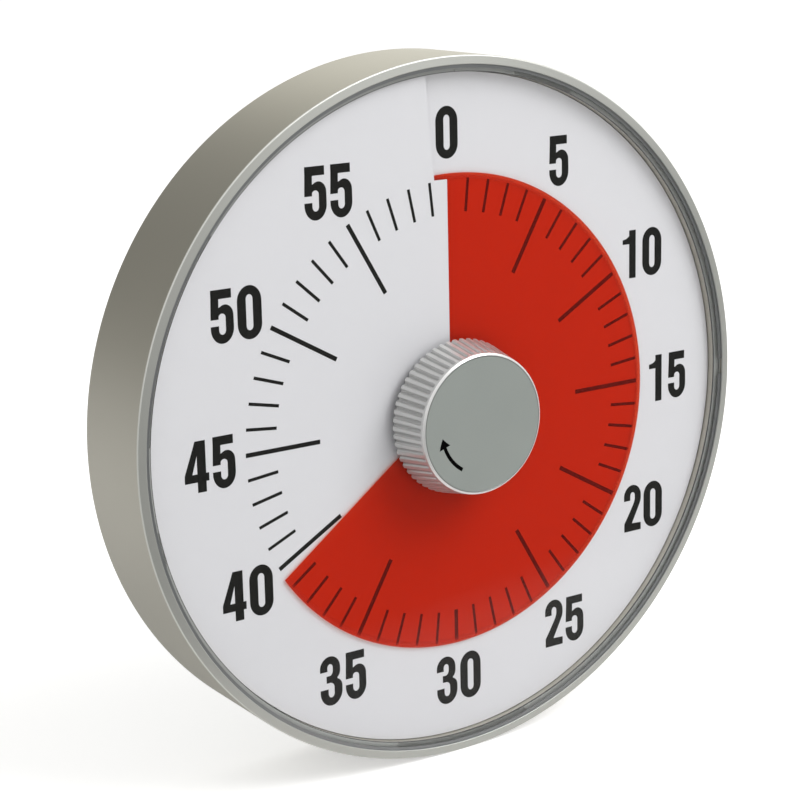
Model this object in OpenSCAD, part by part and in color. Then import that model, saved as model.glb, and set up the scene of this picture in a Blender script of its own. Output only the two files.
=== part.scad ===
// Visual countdown timer of the 30 cm classroom size, in millimetres.
// The timer stands on its rim at z = 0 with its dial facing -Y, centred on x = 0 and y = 0.
// Inside the modules z runs along the dial's axis towards the viewer, from the plane of the
// magnets, and angles on the dial count clockwise from 12 o'clock, as minutes do.

/* [Drum] */
// Outside diameter of the drum
drum_d = 299; // [292:1:320]
// Depth of the drum, from its back edge to the front of its lip
drum_depth = 45.5; // [44:0.5:60]
// Thickness of the drum's side wall
drum_wall = 2.4; // [2:0.1:2.8]
// Width of the lip around the lens
lip_w = 3.9; // [3.7:0.1:5]
// Rounding between the drum's side and its lip
lip_round = 0.8; // [0.5:0.1:1.5]
// Rounding of the drum's back edge
back_round = 1; // [0.5:0.25:1.5]
// Thickness of the lip in front of the retaining ring
lip_t = 0.6; // [0.5:0.1:1.2]
// Width of the ledge that the lens rests on
lens_ledge = 3; // [2.6:0.1:4]
// Height of the shoulder that the back cover is pulled against
shoulder_h = 4; // [3:0.5:8]

/* [Lens] */
// Thickness of the clear lens
lens_t = 1.2; // [1:0.1:2]
// Room around the shaft where it passes the lens
lens_hole_gap = 2.5; // [1:0.5:5]
// Thickness of the split ring that holds the lens
clip_t = 0.9; // [0.6:0.1:1.4]
// How far the split ring sits in its groove
clip_bite = 1; // [0.6:0.1:1.2]
// How far the split ring reaches over the lens
clip_cover = 1.3; // [0.8:0.1:2]
// Opening between the ends of the split ring
clip_gap = 7; // [4:0.5:12]

/* [Dial and film] */
// Step that the dial sheet climbs in one turn, which is the height of its slit
pitch = 2.6; // [2.2:0.1:3]
// Thickness of the white dial sheet
sheet_t = 0.5; // [0.3:0.1:0.8]
// Diameter of the hole in the middle of the dial sheet
sheet_hole_d = 30; // [26:1:40]
// Distance of the slit's edge from the vertical line through the shaft
slit_offset = 1.7; // [1.4:0.1:6]
// Angle at which the raised flap ends outside the film
flap_end = 4.6; // [4:0.1:9]
// Angle that the dial sheet reaches on under the raised flap
under_flap = 16; // [13:1:20]
// How much of the film's border the flap leaves open at the slit
tab_h = 1.8; // [1:0.1:3]
// Diameter of the red film
film_d = 202.8; // [196:0.2:206]
// Thickness of the red film
film_t = 0.25; // [0.15:0.05:0.4]
// Minutes set on the dial at rest
minutes_set = 38.9; // [5:0.1:55]
// Distance of the film's leading edge from the radius at the minutes set
film_edge_offset = 5.9; // [3:0.1:8]
// Least room between the moving film and what lies in front of it or behind it
film_room = 0.45; // [0.4:0.05:1]

/* [Knob] */
// Diameter of the knob at its foot
knob_d = 66; // [64:1:72]
// Diameter of the knob at its face, before the chamfer
knob_face_d = 59.4; // [56:0.2:62]
// Height of the knob
knob_h = 17.5; // [14:0.5:20]
// Width of the bright chamfer around the face
knob_chamfer = 0.7; // [0.4:0.1:1]
// Wall of the knob
knob_wall = 2.8; // [2.4:0.1:3.4]
// Number of grip grooves
groove_count = 58; // [48:1:60]
// Radius of one grip groove
groove_r = 0.95; // [0.8:0.05:1.05]
// Depth of one grip groove
groove_depth = 0.85; // [0.6:0.05:0.9]
// Smooth collar between the grooves and the face
collar_h = 2.6; // [2:0.1:4]
// Thickness of the satin disc in the knob's face
cap_t = 0.8; // [0.5:0.1:1.2]
// Width of the rim around the satin disc
cap_rim = 0.6; // [0.4:0.1:1]
// Gap between the knob's foot and the lens
knob_gap = 0.35; // [0.3:0.05:1]

/* [Shaft and hub] */
// Diameter of the shaft
shaft_d = 6; // [5:0.2:7]
// Diameter of the hub that carries the film
hub_d = 24; // [22:0.5:25]
// Thickness of the hub's web
hub_web = 1.5; // [1.2:0.1:1.6]
// Outside diameter of the threaded bush
bush_d = 9; // [8.6:0.2:10]
// Width of the bush's nut across its corners
nut_d = 14; // [13:0.5:15]
// Thickness of the bush's nut
nut_t = 1.4; // [1:0.1:1.5]

/* [Movement] */
// Thickness of the dial carrier's floor
floor_t = 2; // [1.6:0.1:3]
// Wall of the movement's case
case_wall = 1.8; // [1.5:0.1:2.4]
// Half the width of the movement's case
case_half_w = 29; // [28:0.25:30]
// Top edge of the movement's case above the shaft
case_top = 26; // [25:0.5:30]
// Bottom edge of the movement's case below the shaft
case_bottom = 46; // [45:0.5:48]
// Size of one gear tooth, as pitch diameter over teeth
gear_module = 0.6; // [0.56:0.01:0.62]
// Teeth of the centre wheel
centre_teeth = 60;
// Teeth of the third wheel
third_teeth = 48;
// Teeth of each pinion
pinion_teeth = 8;
// Distance of the gear motor below the shaft
motor_drop = 30; // [29.5:0.1:31]
// Diameter of the gear motor's can
motor_d = 20; // [16:0.5:20.5]
// Thickness of the centre wheel
wheel_t = 2; // [1.6:0.1:2.4]
// Distance from the centre wheel back to the third wheel
wheel_step = 4; // [3.4:0.1:5]

/* [Back] */
// Thickness of the back cover
cover_t = 2.5; // [2.4:0.1:3.2]
// How far the magnets stand proud of the back cover
magnet_proud = 1; // [0.6:0.1:1.5]
// Diameter of one magnet
magnet_d = 25; // [18:0.5:28]
// Thickness of one magnet
magnet_t = 3; // [2.5:0.1:4]
// Distance of the magnets from the shaft
magnet_ring = 105; // [98:1:110]
// Diameter of the keyhole's entry
keyhole_d = 9; // [8.4:0.2:10]
// Width of the keyhole's slot
keyhole_slot = 4.6; // [4:0.1:5]
// Height of the keyhole's entry above the shaft
keyhole_y = 87; // [84:1:92]
// Diameter of a case screw
screw_d = 3; // [2.6:0.1:3.4]
// Distance of the case screws from the shaft
screw_ring = 126; // [122:1:132]

/* [Battery and sound] */
// Diameter of the battery cell
cell_d = 14.5; // [14:0.1:14.5]
// Length of the battery cell with its button
cell_l = 50.5; // [49.5:0.1:50.5]
// Distance of the battery below the shaft
battery_drop = 62; // [60:0.5:68]
// Thickness of the battery door
door_t = 1.6; // [1.2:0.1:1.8]
// Diameter of the buzzer
buzzer_d = 17; // [12:0.5:20]
// Height of the buzzer
buzzer_h = 7; // [5:0.5:8]
// Height of the sound switch above the shaft
switch_y = 46; // [44:0.5:54]
// Travel of the sound switch
switch_travel = 4; // [3:0.5:5]

/* [Hidden] */
// Fits: a turning or sliding fit, a seat that is pushed together, and free air
fit_gap = 0.05;
seat_gap = 0.1;
air = 0.3;
overlap = 0.1;

// Places along the dial's axis, from the lip back
back_z = magnet_proud;
front_z = back_z + drum_depth;
lens_front = front_z - lip_t - clip_t;
lens_back = lens_front - lens_t;
dial_z = lens_back - film_room - film_t / 2 - pitch;
floor_front = dial_z - pitch - film_t / 2 - film_room;
floor_back = floor_front - floor_t;
cover_in = back_z + cover_t;

// Radii of the drum
drum_r = drum_d / 2;
pocket_r = drum_r - lip_w;
lens_r = pocket_r - seat_gap;
dial_r = pocket_r - lens_ledge;
inside_r = drum_r - drum_wall;
carrier_r = pocket_r - air;
cover_r = inside_r - air;

// Dial carrier: two walls that the sheet rests on, and a rim behind the floor
film_wall_gap = 2.6;
film_wall_w = 3;
edge_wall_in = 0.5;
edge_wall_w = 4;
wall_turn = 359.5;
rim_h = 5;
rim_w = 2;

// Knob
knob_foot = lens_front + knob_gap;
knob_top = knob_foot + knob_h;
knob_r = knob_d / 2;
knob_face_r = knob_face_d / 2;
knob_slope = (knob_r - knob_face_r) / (knob_h - knob_chamfer);
knob_lean = atan(knob_slope);
cap_r = knob_face_r - knob_chamfer - cap_rim;
knob_roof = knob_top - cap_t - knob_wall;
boss_wall = 4;
boss_r = shaft_d / 2 + boss_wall;
socket_in = 1;
shaft_tip_gap = 0.2;
rib_t = 1.6;
rib_lift = 4;
rib_in = 0.5;

// Film, hub and bush
minute = 6;
film_r = film_d / 2;
film_turn = minutes_set * minute;
film_start = film_turn - 360;
film_mid_r = film_r * 0.55;
sheet_start = -under_flap;
sheet_mid_r = film_r * 0.6;
tab_step = 0.3;
// Height of the sheet at 12 o'clock under the flap: the film passes halfway up the slit
sheet_z = dial_z - pitch / 2;
hub_r = hub_d / 2;
hub_lip = 0.25;
nut_room = 1;
hub_back = dial_z + pitch * film_start / 360 - hub_lip;
hub_front = dial_z + pitch * film_turn / 360 + hub_lip;
shaft_r = shaft_d / 2;
bush_r = bush_d / 2;
bush_front = floor_front + nut_t;
bush_flange_w = 2.5;
bush_flange_r = bush_r + bush_flange_w;
bush_flange_t = 1.2;

// Movement
case_in = floor_back - case_wall;
collar_front = case_in - bush_flange_t - air;
collar_t = 1.2;
collar_w = 2;
shoulder_l = 1;
spring_t = 0.4;
spring_rim = 1.5;
spring_reach = 7.5;
spring_arm_w = 2;
centre_front = collar_front - collar_t - spring_t;
centre_back = centre_front - wheel_t;
third_front = centre_back - wheel_step;
third_back = third_front - wheel_t;
lid_gap = 1.5;
lid_in = third_back - lid_gap;
lid_t = 1.6;
lid_back = lid_in - lid_t;
// Rim of a wheel, in gear modules below its pitch circle, and what is left around its hole
wheel_rim = 2.5;
wheel_hub_wall = 2;
centre_window_r = 4;
third_window_r = 3.4;
centre_reach = (centre_teeth + pinion_teeth) * gear_module / 2;
third_reach = (third_teeth + pinion_teeth) * gear_module / 2;
// The third arbor lies where the two centre distances meet, left of the line to the motor
third_drop = (centre_reach ^ 2 - third_reach ^ 2 + motor_drop ^ 2) / (2 * motor_drop);
third_side = sqrt(centre_reach ^ 2 - third_drop ^ 2);
third_at = [-third_side, -third_drop];
motor_at = [0, -motor_drop];
arbor_r = 0.8;
pivot_r = 1.5;
pivot_l = 1;
arbor_end_gap = 1.5;
bearing_h = 2;
bearing_floor = 0.5;
bearing_wall = 1.6;
pivot_boss_wall = 1.5;
pivot_boss_h = 0.9;
pinion_back = 0.8;
pinion_front = 0.4;
motor_gap = 1;
motor_nose_r = 3;
motor_nose_h = 0.4;
motor_bore = 2;
arbor_in_motor = 0.5;
motor_ear_l = 4;
motor_ear_w = 5;
motor_ear_t = 1;
case_screw_r = 1;
case_screw_l = 6;
case_screw_head_t = 1.2;
case_screw_head_over = 0.9;
case_post_r = 3.4;
case_post_inset = 4;
case_posts = [
    for (x = [case_half_w - case_post_inset, case_post_inset - case_half_w])
        for (y = [case_top - case_post_inset, case_post_inset - case_bottom]) [x, y]
];

// Circuit board, on stand-offs behind the movement
standoff_h = 2;
board_t = 1.6;
board_w = 44;
board_top = 12;
board_bottom = 30;
board_front = lid_back - standoff_h;
board_back = board_front - board_t;
standoff_r = 2.4;
standoff_inset = 4;
standoffs = [
    for (x = [board_w / 2 - standoff_inset, standoff_inset - board_w / 2])
        for (y = [board_top - standoff_inset, standoff_inset - board_bottom]) [x, y]
];
chip_half = 4;
chip_t = 1.4;
chip_at = [-12, -16];
crystal_half = [1.5, 4];
crystal_t = 1.6;
crystal_at = [9, -18];
capacitor_r = 2;
capacitor_h = 5;
capacitor_step = 5;
buzzer_hole_r = 1.2;
sound_hole_r = 1;
sound_hole_ring = 5;
capacitor_at = [13, -19];

// Battery bay
bay_wall = 1.6;
contact_t = 0.4;
spring_l = 6;
cell_room = 0.35;
bay_half_w = (cell_l + spring_l + 2 * contact_t) / 2 + seat_gap;
bay_half_h = cell_d / 2 + cell_room;
door_front = back_z + door_t;
cell_z = door_front + cell_room + cell_d / 2;
bay_roof = cell_z + cell_d / 2 + cell_room;
door_over = 2;
door_half_w = bay_half_w + door_over;
door_half_h = bay_half_h + door_over;
cell_button = 1;
cell_button_r = 2.7;
contact_half_w = 5.5;
contact_down = 5;
door_grip = [1, 10, 0.5];
door_grip_step = 2;
door_tab_at = 16;
door_tab = [8, 1];
door_tab_room = 0.6;
door_tab_h = 2.6;
door_tab_root = 0.5;
cell_end = bay_half_w - contact_t - seat_gap / 2;

// Back cover
screw_r = screw_d / 2;
screw_head_over = 1.6;
screw_head_r = screw_r + screw_head_over;
screw_head_t = 1.8;
screw_slot_w = 0.8;
screw_slot_d = 1;
screw_boss_wall = 2.5;
screw_boss_r = screw_r + screw_boss_wall;
cover_boss_h = 12;
boss_seam = cover_in + cover_boss_h;
screw_bite = 10;
screw_room = 1;
screw_end = boss_seam + screw_bite;
screw_turns = [30:60:330];
magnet_r = magnet_d / 2;
magnet_turns = [45:90:315];
magnet_pad_wall = 2;
magnet_pad_roof = 1.5;
magnet_pad_r = magnet_r + magnet_pad_wall;
magnet_pad_z = magnet_t + magnet_pad_roof;
key_r = keyhole_d / 2;
key_slot_r = keyhole_slot / 2;
key_rise = 12;
hanger_t = 1.2;
hanger_mid = keyhole_y + 8;
window_room = 4.5;
window_r = key_r + window_room;
window_rise = 7;
hanger_side = 6;
hanger_end = 7;
hanger_half_w = window_r + hanger_side;
hanger_half_h = window_rise + window_r + hanger_end;
hanger_peg = window_rise + window_r + hanger_end / 2;
hanger_peg_r = 1.5;
peg_head = cover_in + hanger_t + seat_gap;
peg_head_over = 0.8;
peg_head_t = 0.8;
switch_slot_w = 3.4;
switch_cap = [5, 5.6];
switch_recess_t = 1.2;
switch_body_half = [10, 4.5];
switch_body_h = 5.5;
switch_track_h = 2.5;
switch_stem_half = 2;
switch_run = [switch_travel / 2 + switch_stem_half + air, switch_slot_w / 2];
switch_grip = [0.6, 6, 0.4];
switch_grip_step = 1.4;

total_depth = knob_top;

SILVER = [0.74, 0.75, 0.73];
SATIN = [0.60, 0.62, 0.60];
WHITE = [0.90, 0.90, 0.91];
RED = [0.78, 0.14, 0.08];
BRASS = [0.80, 0.66, 0.36];
STEEL = [0.66, 0.67, 0.68];
BLACK = [0.13, 0.13, 0.14];

// ---- Shared shapes ----

// Turns the dial's axis to -Y and sets the drum down on its rim
module placed() {
    translate([0, total_depth / 2, drum_r]) rotate([90, 0, 0]) children();
}

// Repeats a shape on a circle, at clockwise angles from 12 o'clock
module around(turns, ring) {
    for (turn = turns) rotate([0, 0, -turn]) translate([0, ring, 0]) children();
}

// A disc or a tube between two places along the axis
module disc(r, from, to, hole = 0, fn = 96) {
    difference() {
        translate([0, 0, from]) cylinder(r = r, h = to - from, $fn = fn);
        if (hole > 0)
            translate([0, 0, from - overlap])
                cylinder(r = hole, h = to - from + 2 * overlap, $fn = fn);
    }
}

// A block centred on a point of the dial, between two places along the axis
module block(half, at, from, to) {
    translate([at[0] - half[0], at[1] - half[1], from]) cube([2 * half[0], 2 * half[1], to - from]);
}

function on_screw(r, turn, height) = [r * sin(turn), r * cos(turn), height];

// A sheet that climbs one pitch per turn. Each rail is [radius, first angle, last angle], from the
// inside out. The underside climbs with the top, or is flat where a base height is given.
module climbing_sheet(rails, middle, t, steps, base = undef) {
    m = len(rails);
    size = (steps + 1) * m;
    turns = [for (i = [0:steps], rail = rails) rail[1] + (rail[2] - rail[1]) * i / steps];
    radii = [for (i = [0:steps], rail = rails) rail[0]];
    top = [for (k = [0:size - 1]) on_screw(radii[k], turns[k], middle + pitch * turns[k] / 360 + t / 2)];
    bottom = [for (p = top) [p[0], p[1], is_undef(base) ? p[2] - t : base]];
    quads = concat(
        [for (i = [0:steps - 1], j = [0:m - 2])
            [i * m + j, i * m + j + 1, (i + 1) * m + j + 1, (i + 1) * m + j]],
        [for (i = [0:steps - 1], j = [0:m - 2])
            [size + (i + 1) * m + j, size + (i + 1) * m + j + 1, size + i * m + j + 1, size + i * m + j]],
        [for (i = [0:steps - 1])
            [(i + 1) * m - 1, size + (i + 1) * m - 1, size + (i + 2) * m - 1, (i + 2) * m - 1]],
        [for (i = [0:steps - 1]) [i * m, (i + 1) * m, size + (i + 1) * m, size + i * m]],
        [for (j = [0:m - 2]) [j, size + j, size + j + 1, j + 1]],
        [for (j = [steps * m:steps * m + m - 2]) [j, j + 1, size + j + 1, size + j]]
    );
    faces = [for (q = quads, half = [[q[0], q[1], q[2]], [q[0], q[2], q[3]]]) half];
    polyhedron(points = concat(top, bottom), faces = faces);
}

// A clock gear's outline: radial root, flank that narrows past the pitch circle, short flat tip.
// A tooth points to 12 o'clock.
module gear_outline(teeth, addendum, dedendum, share, tip) {
    pitch_r = teeth * gear_module / 2;
    tip_r = pitch_r + addendum * gear_module;
    root_r = pitch_r - dedendum * gear_module;
    half = 180 / teeth;
    side = [
        [root_r, share], [pitch_r, share],
        [(pitch_r + tip_r) / 2, 0.8 * share + 0.2 * tip], [tip_r, tip]
    ];
    polygon([
        for (k = [0:teeth - 1], s = [-1, 1], n = [0:3])
            let (p = side[s < 0 ? n : 3 - n], turn = (2 * k + s * p[1]) * half)
                [p[0] * sin(turn), p[0] * cos(turn)]
    ]);
}

module wheel_outline(teeth) {
    gear_outline(teeth, 0.85, 1.25, 0.44, 0.14);
}

module pinion_outline() {
    gear_outline(pinion_teeth, 0.6, 1.3, 0.36, 0.14);
}

// A round wire along corner points, with a ball at each bend
module wire(points, r) {
    for (i = [0:len(points) - 2]) {
        step = points[i + 1] - points[i];
        translate(points[i])
            rotate([0, acos(step[2] / norm(step)), atan2(step[1], step[0])])
                cylinder(r = r, h = norm(step), $fn = 24);
    }
    for (i = [1:len(points) - 2]) translate(points[i]) sphere(r = r, $fn = 24);
}

// ---- Drum, lens and dial ----

module ring_block() {
    edge = drum_r - lip_round;
    translate([0, back_z + back_round]) square([drum_r, front_z - lip_round - back_z - back_round]);
    translate([0, back_z]) square([drum_r - back_round, front_z - lip_round - back_z]);
    translate([drum_r - back_round, back_z + back_round]) circle(r = back_round, $fn = 48);
    translate([0, front_z - lip_round - overlap]) square([edge, lip_round + overlap]);
    translate([edge, front_z - lip_round]) circle(r = lip_round, $fn = 96);
}

// One cut of the ring's inside, open to the axis
module ring_cut(r, from, to) {
    translate([-overlap, from]) square([r + overlap, to - from]);
}

module housing_ring() {
    color(SILVER) placed() rotate_extrude($fn = 240) difference() {
        ring_block();
        ring_cut(pocket_r, lens_back, front_z + overlap);
        ring_cut(pocket_r + clip_bite, lens_front, lens_front + clip_t);
        ring_cut(dial_r, floor_front - overlap, lens_back + overlap);
        ring_cut(inside_r, cover_in + shoulder_h, floor_front);
        ring_cut(pocket_r, cover_in - overlap, cover_in + shoulder_h + overlap);
        ring_cut(inside_r, back_z - overlap, cover_in);
    }
}

module front_lens() {
    color([0.85, 0.9, 0.92, 0.35]) placed()
        disc(lens_r, lens_back, lens_front, shaft_r + lens_hole_gap, 240);
}

module retaining_ring() {
    gap_turn = clip_gap / pocket_r * 180 / PI;
    inner = pocket_r - clip_cover;
    outer = pocket_r + clip_bite - seat_gap;
    color(STEEL) placed() rotate([0, 0, gap_turn / 2])
        rotate_extrude(angle = 360 - gap_turn, $fn = 240)
            translate([inner, lens_front]) square([outer - inner, clip_t - seat_gap]);
}

// Ring wall that holds the dial sheet at its climbing height
module climbing_wall(r, w) {
    rails = [for (at = [r, r + w]) [at, sheet_start, sheet_start + wall_turn]];
    climbing_sheet(rails, sheet_z - seat_gap / 2, -sheet_t, 60, floor_front - overlap);
}

module dial_carrier() {
    color(WHITE) placed() difference() {
        union() {
            disc(carrier_r, floor_back, floor_front, fn = 240);
            climbing_wall(film_r + film_wall_gap, film_wall_w);
            climbing_wall(dial_r - edge_wall_in - edge_wall_w, edge_wall_w);
            around(screw_turns, screw_ring) disc(screw_boss_r, boss_seam, floor_back + overlap, fn = 48);
            difference() {
                disc(carrier_r, floor_back - rim_h, floor_back + overlap, carrier_r - rim_w, 240);
                around(screw_turns, screw_ring)
                    disc(screw_boss_r, floor_back - rim_h - overlap, floor_back, fn = 48);
            }
        }
        disc(bush_r + fit_gap, floor_back - overlap, floor_front + overlap, fn = 64);
        around(screw_turns, screw_ring)
            disc(screw_r + fit_gap, boss_seam - overlap, screw_end + screw_room, fn = 48);
    }
}

// First and last angle of the dial sheet at one radius
function sheet_rail(r) = [
    r, sheet_start, 360 - (r < film_r - tab_h ? asin(slit_offset / r) : flap_end)
];

module dial_sheet() {
    tab_r = film_r - tab_h;
    radii = [sheet_hole_d / 2, sheet_mid_r, tab_r - tab_step, tab_r, dial_r - air];
    color(WHITE) placed() climbing_sheet([for (r = radii) sheet_rail(r)], sheet_z, sheet_t, 90);
}

// ---- Film ----

// First and last angle of the film at one radius, between two straight cuts
function film_rail(r) = [
    r, film_start + asin(film_edge_offset / r), film_turn + asin(film_edge_offset / r)
];

module time_film() {
    radii = [hub_r + fit_gap, film_mid_r, film_r];
    color(concat(RED, 0.85)) placed()
        climbing_sheet([for (r = radii) film_rail(r)], dial_z, film_t, 72);
}

// Hexagon on the shaft's front end, which turns the hub and the knob
module hexagon(r, from, to) {
    translate([0, 0, from]) cylinder(r = r, h = to - from, $fn = 6);
}

module film_hub() {
    color(WHITE) placed() difference() {
        disc(hub_r, hub_back, hub_front);
        disc(nut_d / 2 + nut_room, hub_back - overlap, hub_front - hub_web);
        hexagon(shaft_r + seat_gap, hub_back, hub_front + overlap);
    }
}

// ---- Knob and shaft ----

module knob_side() {
    rim_z = knob_top - knob_chamfer;
    polygon([
        [0, knob_foot], [knob_r, knob_foot], [knob_face_r, rim_z],
        [knob_face_r - knob_chamfer, knob_top], [0, knob_top]
    ]);
}

// Hollow under the knob's roof, parallel to its side
module knob_hollow() {
    roof_r = knob_r - knob_slope * (knob_roof - knob_foot) - knob_wall;
    foot_r = knob_r + knob_slope * overlap - knob_wall;
    polygon([
        [0, knob_foot - overlap], [foot_r, knob_foot - overlap], [roof_r, knob_roof], [0, knob_roof]
    ]);
}

// One groove, leaning with the knob's side, with the round end that its cutter leaves
module grip_groove() {
    top = knob_top - collar_h;
    r = knob_r - knob_slope * (top - knob_foot) + groove_r - groove_depth;
    translate([0, r, top]) rotate([180 - knob_lean, 0, 0]) {
        cylinder(r = groove_r, h = knob_h, $fn = 24);
        sphere(r = groove_r, $fn = 24);
    }
}

module knob() {
    color(SILVER) placed() difference() {
        union() {
            difference() {
                rotate_extrude($fn = 180) knob_side();
                rotate_extrude($fn = 180) knob_hollow();
            }
            disc(boss_r, knob_foot, knob_roof + overlap, fn = 64);
            difference() {
                for (turn = [0:60:120]) rotate([0, 0, turn])
                    block([knob_face_r - knob_wall + rib_in, rib_t / 2], [0, 0],
                        knob_foot + rib_lift, knob_roof + overlap);
                disc(boss_r - boss_wall / 4, knob_foot, knob_top, fn = 64);
            }
        }
        around([for (k = [0:groove_count - 1]) k * 360 / groove_count], 0) grip_groove();
        disc(cap_r + seat_gap, knob_top - cap_t, knob_top + overlap, fn = 180);
        hexagon(shaft_r + fit_gap, knob_foot - overlap, knob_roof + socket_in);
    }
}

module knob_cap() {
    color(SATIN) placed() disc(cap_r, knob_top - cap_t, knob_top, fn = 180);
}

module set_shaft() {
    color(STEEL) placed() {
        hexagon(shaft_r, bush_front + air, knob_roof + socket_in - shaft_tip_gap);
        disc(shaft_r, centre_back - shoulder_l, bush_front + air, fn = 48);
        disc(shaft_r + collar_w, collar_front - collar_t, collar_front, fn = 48);
        disc(pivot_r, lid_in - pivot_l, centre_back - shoulder_l, fn = 32);
    }
}

// Three-armed spring washer that presses the centre wheel against the collar
module friction_spring() {
    color(STEEL) placed() difference() {
        union() {
            disc(shaft_r + spring_rim, centre_front, centre_front + spring_t, fn = 48);
            for (turn = [0:120:240]) rotate([0, 0, turn])
                block([spring_reach / 2, spring_arm_w / 2], [shaft_r + spring_reach / 2, 0],
                    centre_front, centre_front + spring_t);
        }
        disc(shaft_r + fit_gap, centre_front - overlap, collar_front, fn = 48);
    }
}

module shaft_bush() {
    color(BRASS) placed() difference() {
        union() {
            disc(bush_r, case_in - bush_flange_t, bush_front, fn = 64);
            disc(bush_flange_r, case_in - bush_flange_t, case_in, fn = 64);
        }
        disc(shaft_r + fit_gap, collar_front, bush_front + overlap, fn = 64);
    }
}

module bush_nut() {
    color(BRASS) placed() difference() {
        hexagon(nut_d / 2, floor_front, bush_front);
        disc(bush_r + fit_gap, floor_front - overlap, bush_front + overlap, fn = 64);
    }
}

// ---- Gear train ----

// A toothed disc with a round hole and a ring of windows
module toothed_wheel(teeth, from, to, hole, window) {
    rim = (teeth / 2 - wheel_rim) * gear_module;
    hub = hole + wheel_hub_wall;
    difference() {
        translate([0, 0, from]) linear_extrude(height = to - from) wheel_outline(teeth);
        disc(hole, from - overlap, to + overlap, fn = 48);
        around([0:72:288], (rim + hub) / 2) disc(window, from - overlap, to + overlap, fn = 32);
    }
}

// Angle that points a tooth from one arbor at another
function aim(from, to) = -atan2(to[0] - from[0], to[1] - from[1]);

module centre_wheel() {
    color(BRASS) placed() rotate([0, 0, aim([0, 0], third_at)])
        toothed_wheel(centre_teeth, centre_back, centre_front, shaft_r + fit_gap, centre_window_r);
}

module third_wheel() {
    color(BRASS) placed() translate(third_at) rotate([0, 0, aim(third_at, motor_at)])
        toothed_wheel(third_teeth, third_back, third_front, arbor_r + fit_gap, third_window_r);
}

// A pinion with a gap between two leaves turned to the wheel that meshes with it
module pinion(from, to, face) {
    rotate([0, 0, face + 180 / pinion_teeth])
        translate([0, 0, from]) linear_extrude(height = to - from) pinion_outline();
}

module third_pinion() {
    color(STEEL) placed() translate(third_at) {
        pinion(centre_back - pinion_back, centre_front + pinion_front, aim(third_at, [0, 0]));
        disc(arbor_r, lid_in - pivot_l, case_in - arbor_end_gap, fn = 32);
    }
}

module motor_pinion() {
    color(STEEL) placed() translate(motor_at) {
        pinion(third_back - air, third_front + air, aim(motor_at, third_at));
        disc(arbor_r, third_back - air, third_front + motor_gap + arbor_in_motor, fn = 32);
    }
}

// Flat geared step motor, with two ears and a hole for its output arbor
module gear_motor() {
    motor_back = third_front + motor_gap;
    color(STEEL) placed() translate(motor_at) difference() {
        union() {
            disc(motor_d / 2, motor_back, case_in, fn = 96);
            block([motor_d / 2 + motor_ear_l, motor_ear_w / 2], [0, 0], case_in - motor_ear_t, case_in);
            disc(motor_nose_r, motor_back - motor_nose_h, motor_back + overlap, fn = 48);
        }
        disc(arbor_r + fit_gap, motor_back - motor_nose_h - overlap, motor_back + motor_bore, fn = 32);
    }
}

// ---- Movement case ----

module case_block(inset, from, to) {
    half_h = (case_top + case_bottom) / 2;
    middle = (case_top - case_bottom) / 2;
    block([case_half_w - inset, half_h - inset], [0, middle], from, to);
}

module movement_front() {
    color(BLACK) placed() difference() {
        union() {
            difference() {
                case_block(0, lid_in, floor_back);
                case_block(case_wall, lid_in - overlap, case_in);
            }
            for (post = case_posts) translate(post)
                disc(case_post_r, lid_in, case_in + overlap, fn = 32);
            translate(third_at)
                disc(arbor_r + bearing_wall, case_in - bearing_h, case_in + overlap, fn = 32);
        }
        disc(bush_r + fit_gap, case_in - overlap, floor_back + overlap, fn = 64);
        translate(third_at)
            disc(arbor_r + fit_gap, case_in - bearing_h - overlap, case_in - bearing_floor, fn = 32);
        for (post = case_posts) translate(post)
            disc(case_screw_r + fit_gap, lid_in - overlap, lid_in + case_screw_l + screw_room, fn = 32);
    }
}

module movement_back() {
    color(BLACK) placed() difference() {
        union() {
            case_block(0, lid_back, lid_in);
            disc(pivot_r + pivot_boss_wall, lid_in - overlap, lid_in + pivot_boss_h, fn = 48);
            for (at = standoffs) translate(at) disc(standoff_r, board_front, lid_back + overlap, fn = 32);
        }
        disc(pivot_r + fit_gap, lid_in - pivot_l - seat_gap, lid_in + pivot_boss_h + overlap, fn = 48);
        translate(third_at) disc(arbor_r + fit_gap, lid_in - pivot_l - seat_gap, lid_in + overlap, fn = 32);
        for (post = case_posts) translate(post)
            disc(case_screw_r + fit_gap, lid_back - overlap, lid_in + overlap, fn = 32);
    }
}

module movement_screws() {
    color(STEEL) placed() for (post = case_posts) translate(post) {
        disc(case_screw_r, lid_back, lid_in + case_screw_l, fn = 32);
        disc(case_screw_r + case_screw_head_over, lid_back - case_screw_head_t, lid_back, fn = 32);
    }
}

// Bare board with its chip, its crystal and two capacitors
module circuit_board() {
    half_h = (board_top + board_bottom) / 2;
    middle = (board_top - board_bottom) / 2;
    color([0.10, 0.36, 0.20]) placed() {
        block([board_w / 2, half_h], [0, middle], board_back, board_front);
        block([chip_half, chip_half], chip_at, board_back - chip_t, board_back);
        block(crystal_half, crystal_at, board_back - crystal_t, board_back);
        for (k = [0, 1]) translate(capacitor_at + [k * capacitor_step, 0])
            disc(capacitor_r, board_back - capacitor_h, board_back, fn = 32);
    }
}

module buzzer() {
    color(BLACK) placed() disc(buzzer_d / 2, board_back - buzzer_h, board_back, buzzer_hole_r, 64);
}

// ---- Sound switch ----

module switch_body() {
    color(BLACK) placed() difference() {
        block(switch_body_half, [0, switch_y], cover_in, cover_in + switch_body_h);
        block(switch_run, [0, switch_y], cover_in - overlap, cover_in + switch_track_h);
    }
}

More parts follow.
